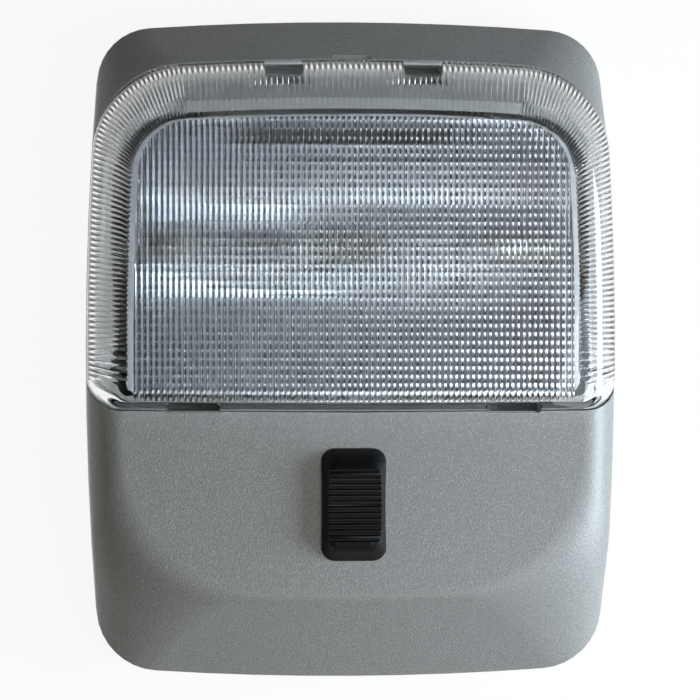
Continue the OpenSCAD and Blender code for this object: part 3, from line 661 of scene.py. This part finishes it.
def floor_material():
    """Lit white, which the camera, reflections and clear pieces see mostly as an even white glow."""
    white = principled("floor white", [FLOOR_WHITE] * 3, FLOOR_ROUGHNESS)
    tree = white.node_tree
    glow = tree.nodes.new("ShaderNodeEmission")
    glow.inputs["Strength"].default_value = FLOOR_GLOW
    rays = tree.nodes.new("ShaderNodeLightPath").outputs
    seen = math_node(tree, "MAXIMUM", rays["Is Camera Ray"], rays["Is Glossy Ray"])
    seen = math_node(tree, "MAXIMUM", seen, rays["Is Transmission Ray"])
    mix = tree.nodes.new("ShaderNodeMixShader")
    tree.links.new(math_node(tree, "MULTIPLY", seen, GLOW_SHARE), mix.inputs["Fac"])
    tree.links.new(tree.nodes["Principled BSDF"].outputs[0], mix.inputs[1])
    tree.links.new(glow.outputs[0], mix.inputs[2])
    tree.links.new(mix.outputs[0], tree.nodes["Material Output"].inputs["Surface"])
    return white


floor = new_object(
    "floor",
    floor_ring(FLOOR_HALF, FLOOR_Z) + floor_ring(FLOOR_HALF + FLOOR_EDGE, FLOOR_RISE),
    [(0, 1, 2, 3), (0, 4, 5, 1), (1, 5, 6, 2), (2, 6, 7, 3), (3, 7, 4, 0)],
)
floor.data.materials.append(floor_material())

# World and lamps

WORLD_COLOR = (0.62, 0.68, 0.78, 1.0)
WORLD_STRENGTH = 0.01

# Place, aim and size in metres, power and colour of each lamp
LAMPS = {
    "window": ((0.34, -0.06, 0.17), (0, 0, 0.02), (0.25, 0.2), 2.15, (0.78, 0.9, 1.0)),
    "right": ((0.21, -0.16, 0.6), (0.02, 0, 0.02), (0.3, 0.3), 0.95, (0.88, 0.94, 1.0)),
    "over": ((0.14, -0.3, 0.68), (0, 0, 0.02), (0.36, 0.3), 0.7, (1.0, 0.86, 0.7)),
    "front": ((0.0, -0.6, 0.4), (0, 0, 0.02), (0.6, 0.4), 0.2, (1.0, 0.95, 0.9)),
    "left": ((-0.6, 0.0, 0.3), (0, 0, 0.02), (0.5, 0.4), 0.15, (1.0, 0.8, 0.6)),
}

world = bpy.data.worlds.new("studio")
bpy.context.scene.world = world
world.use_nodes = True
background = world.node_tree.nodes["Background"]
background.inputs["Color"].default_value = WORLD_COLOR
background.inputs["Strength"].default_value = WORLD_STRENGTH


def lamp(name, place, target, size, power, color):
    light = bpy.data.lights.new(name, "AREA")
    light.shape = "RECTANGLE"
    light.size, light.size_y = size
    light.energy = power
    light.color = color
    obj = bpy.data.objects.new(name, light)
    bpy.context.scene.collection.objects.link(obj)
    obj.location = place
    aim = Vector(target) - Vector(place)
    obj.rotation_euler = aim.to_track_quat("-Z", "Y").to_euler()


for lamp_name, settings in LAMPS.items():
    lamp(lamp_name, *settings)

# Camera, straight over the face and a little to the left

# Sensor in millimetres, distance in metres, turn, metres for a pixel at a plane over the back,
# the picture's size in pixels, and the pixel that the target falls on
SENSOR = 36.0
DISTANCE = 0.7
YAW = math.radians(3.55)
SCALE = 0.2062 * MM
PLANE = 5.0 * MM
PICTURE = 700
MIDDLE = (348.0, 349.1)
TARGET = Vector((0.0, 0.0, PLANE))

camera = bpy.data.cameras.new("camera")
camera.sensor_width = SENSOR
camera.lens = SENSOR * DISTANCE / (SCALE * PICTURE)
camera_obj = bpy.data.objects.new("camera", camera)
bpy.context.scene.collection.objects.link(camera_obj)
bpy.context.scene.camera = camera_obj
back = Vector((-math.sin(YAW), 0.0, math.cos(YAW)))
right = Vector((0.0, 1.0, 0.0)).cross(back).normalized()
up = back.cross(right)
turn = Matrix((right, up, back)).transposed().to_4x4()
camera_obj.matrix_world = Matrix.Translation(TARGET + back * DISTANCE) @ turn
camera.shift_x = 0.5 - MIDDLE[0] / PICTURE
camera.shift_y = MIDDLE[1] / PICTURE - 0.5

bpy.context.scene.view_settings.view_transform = "Standard"
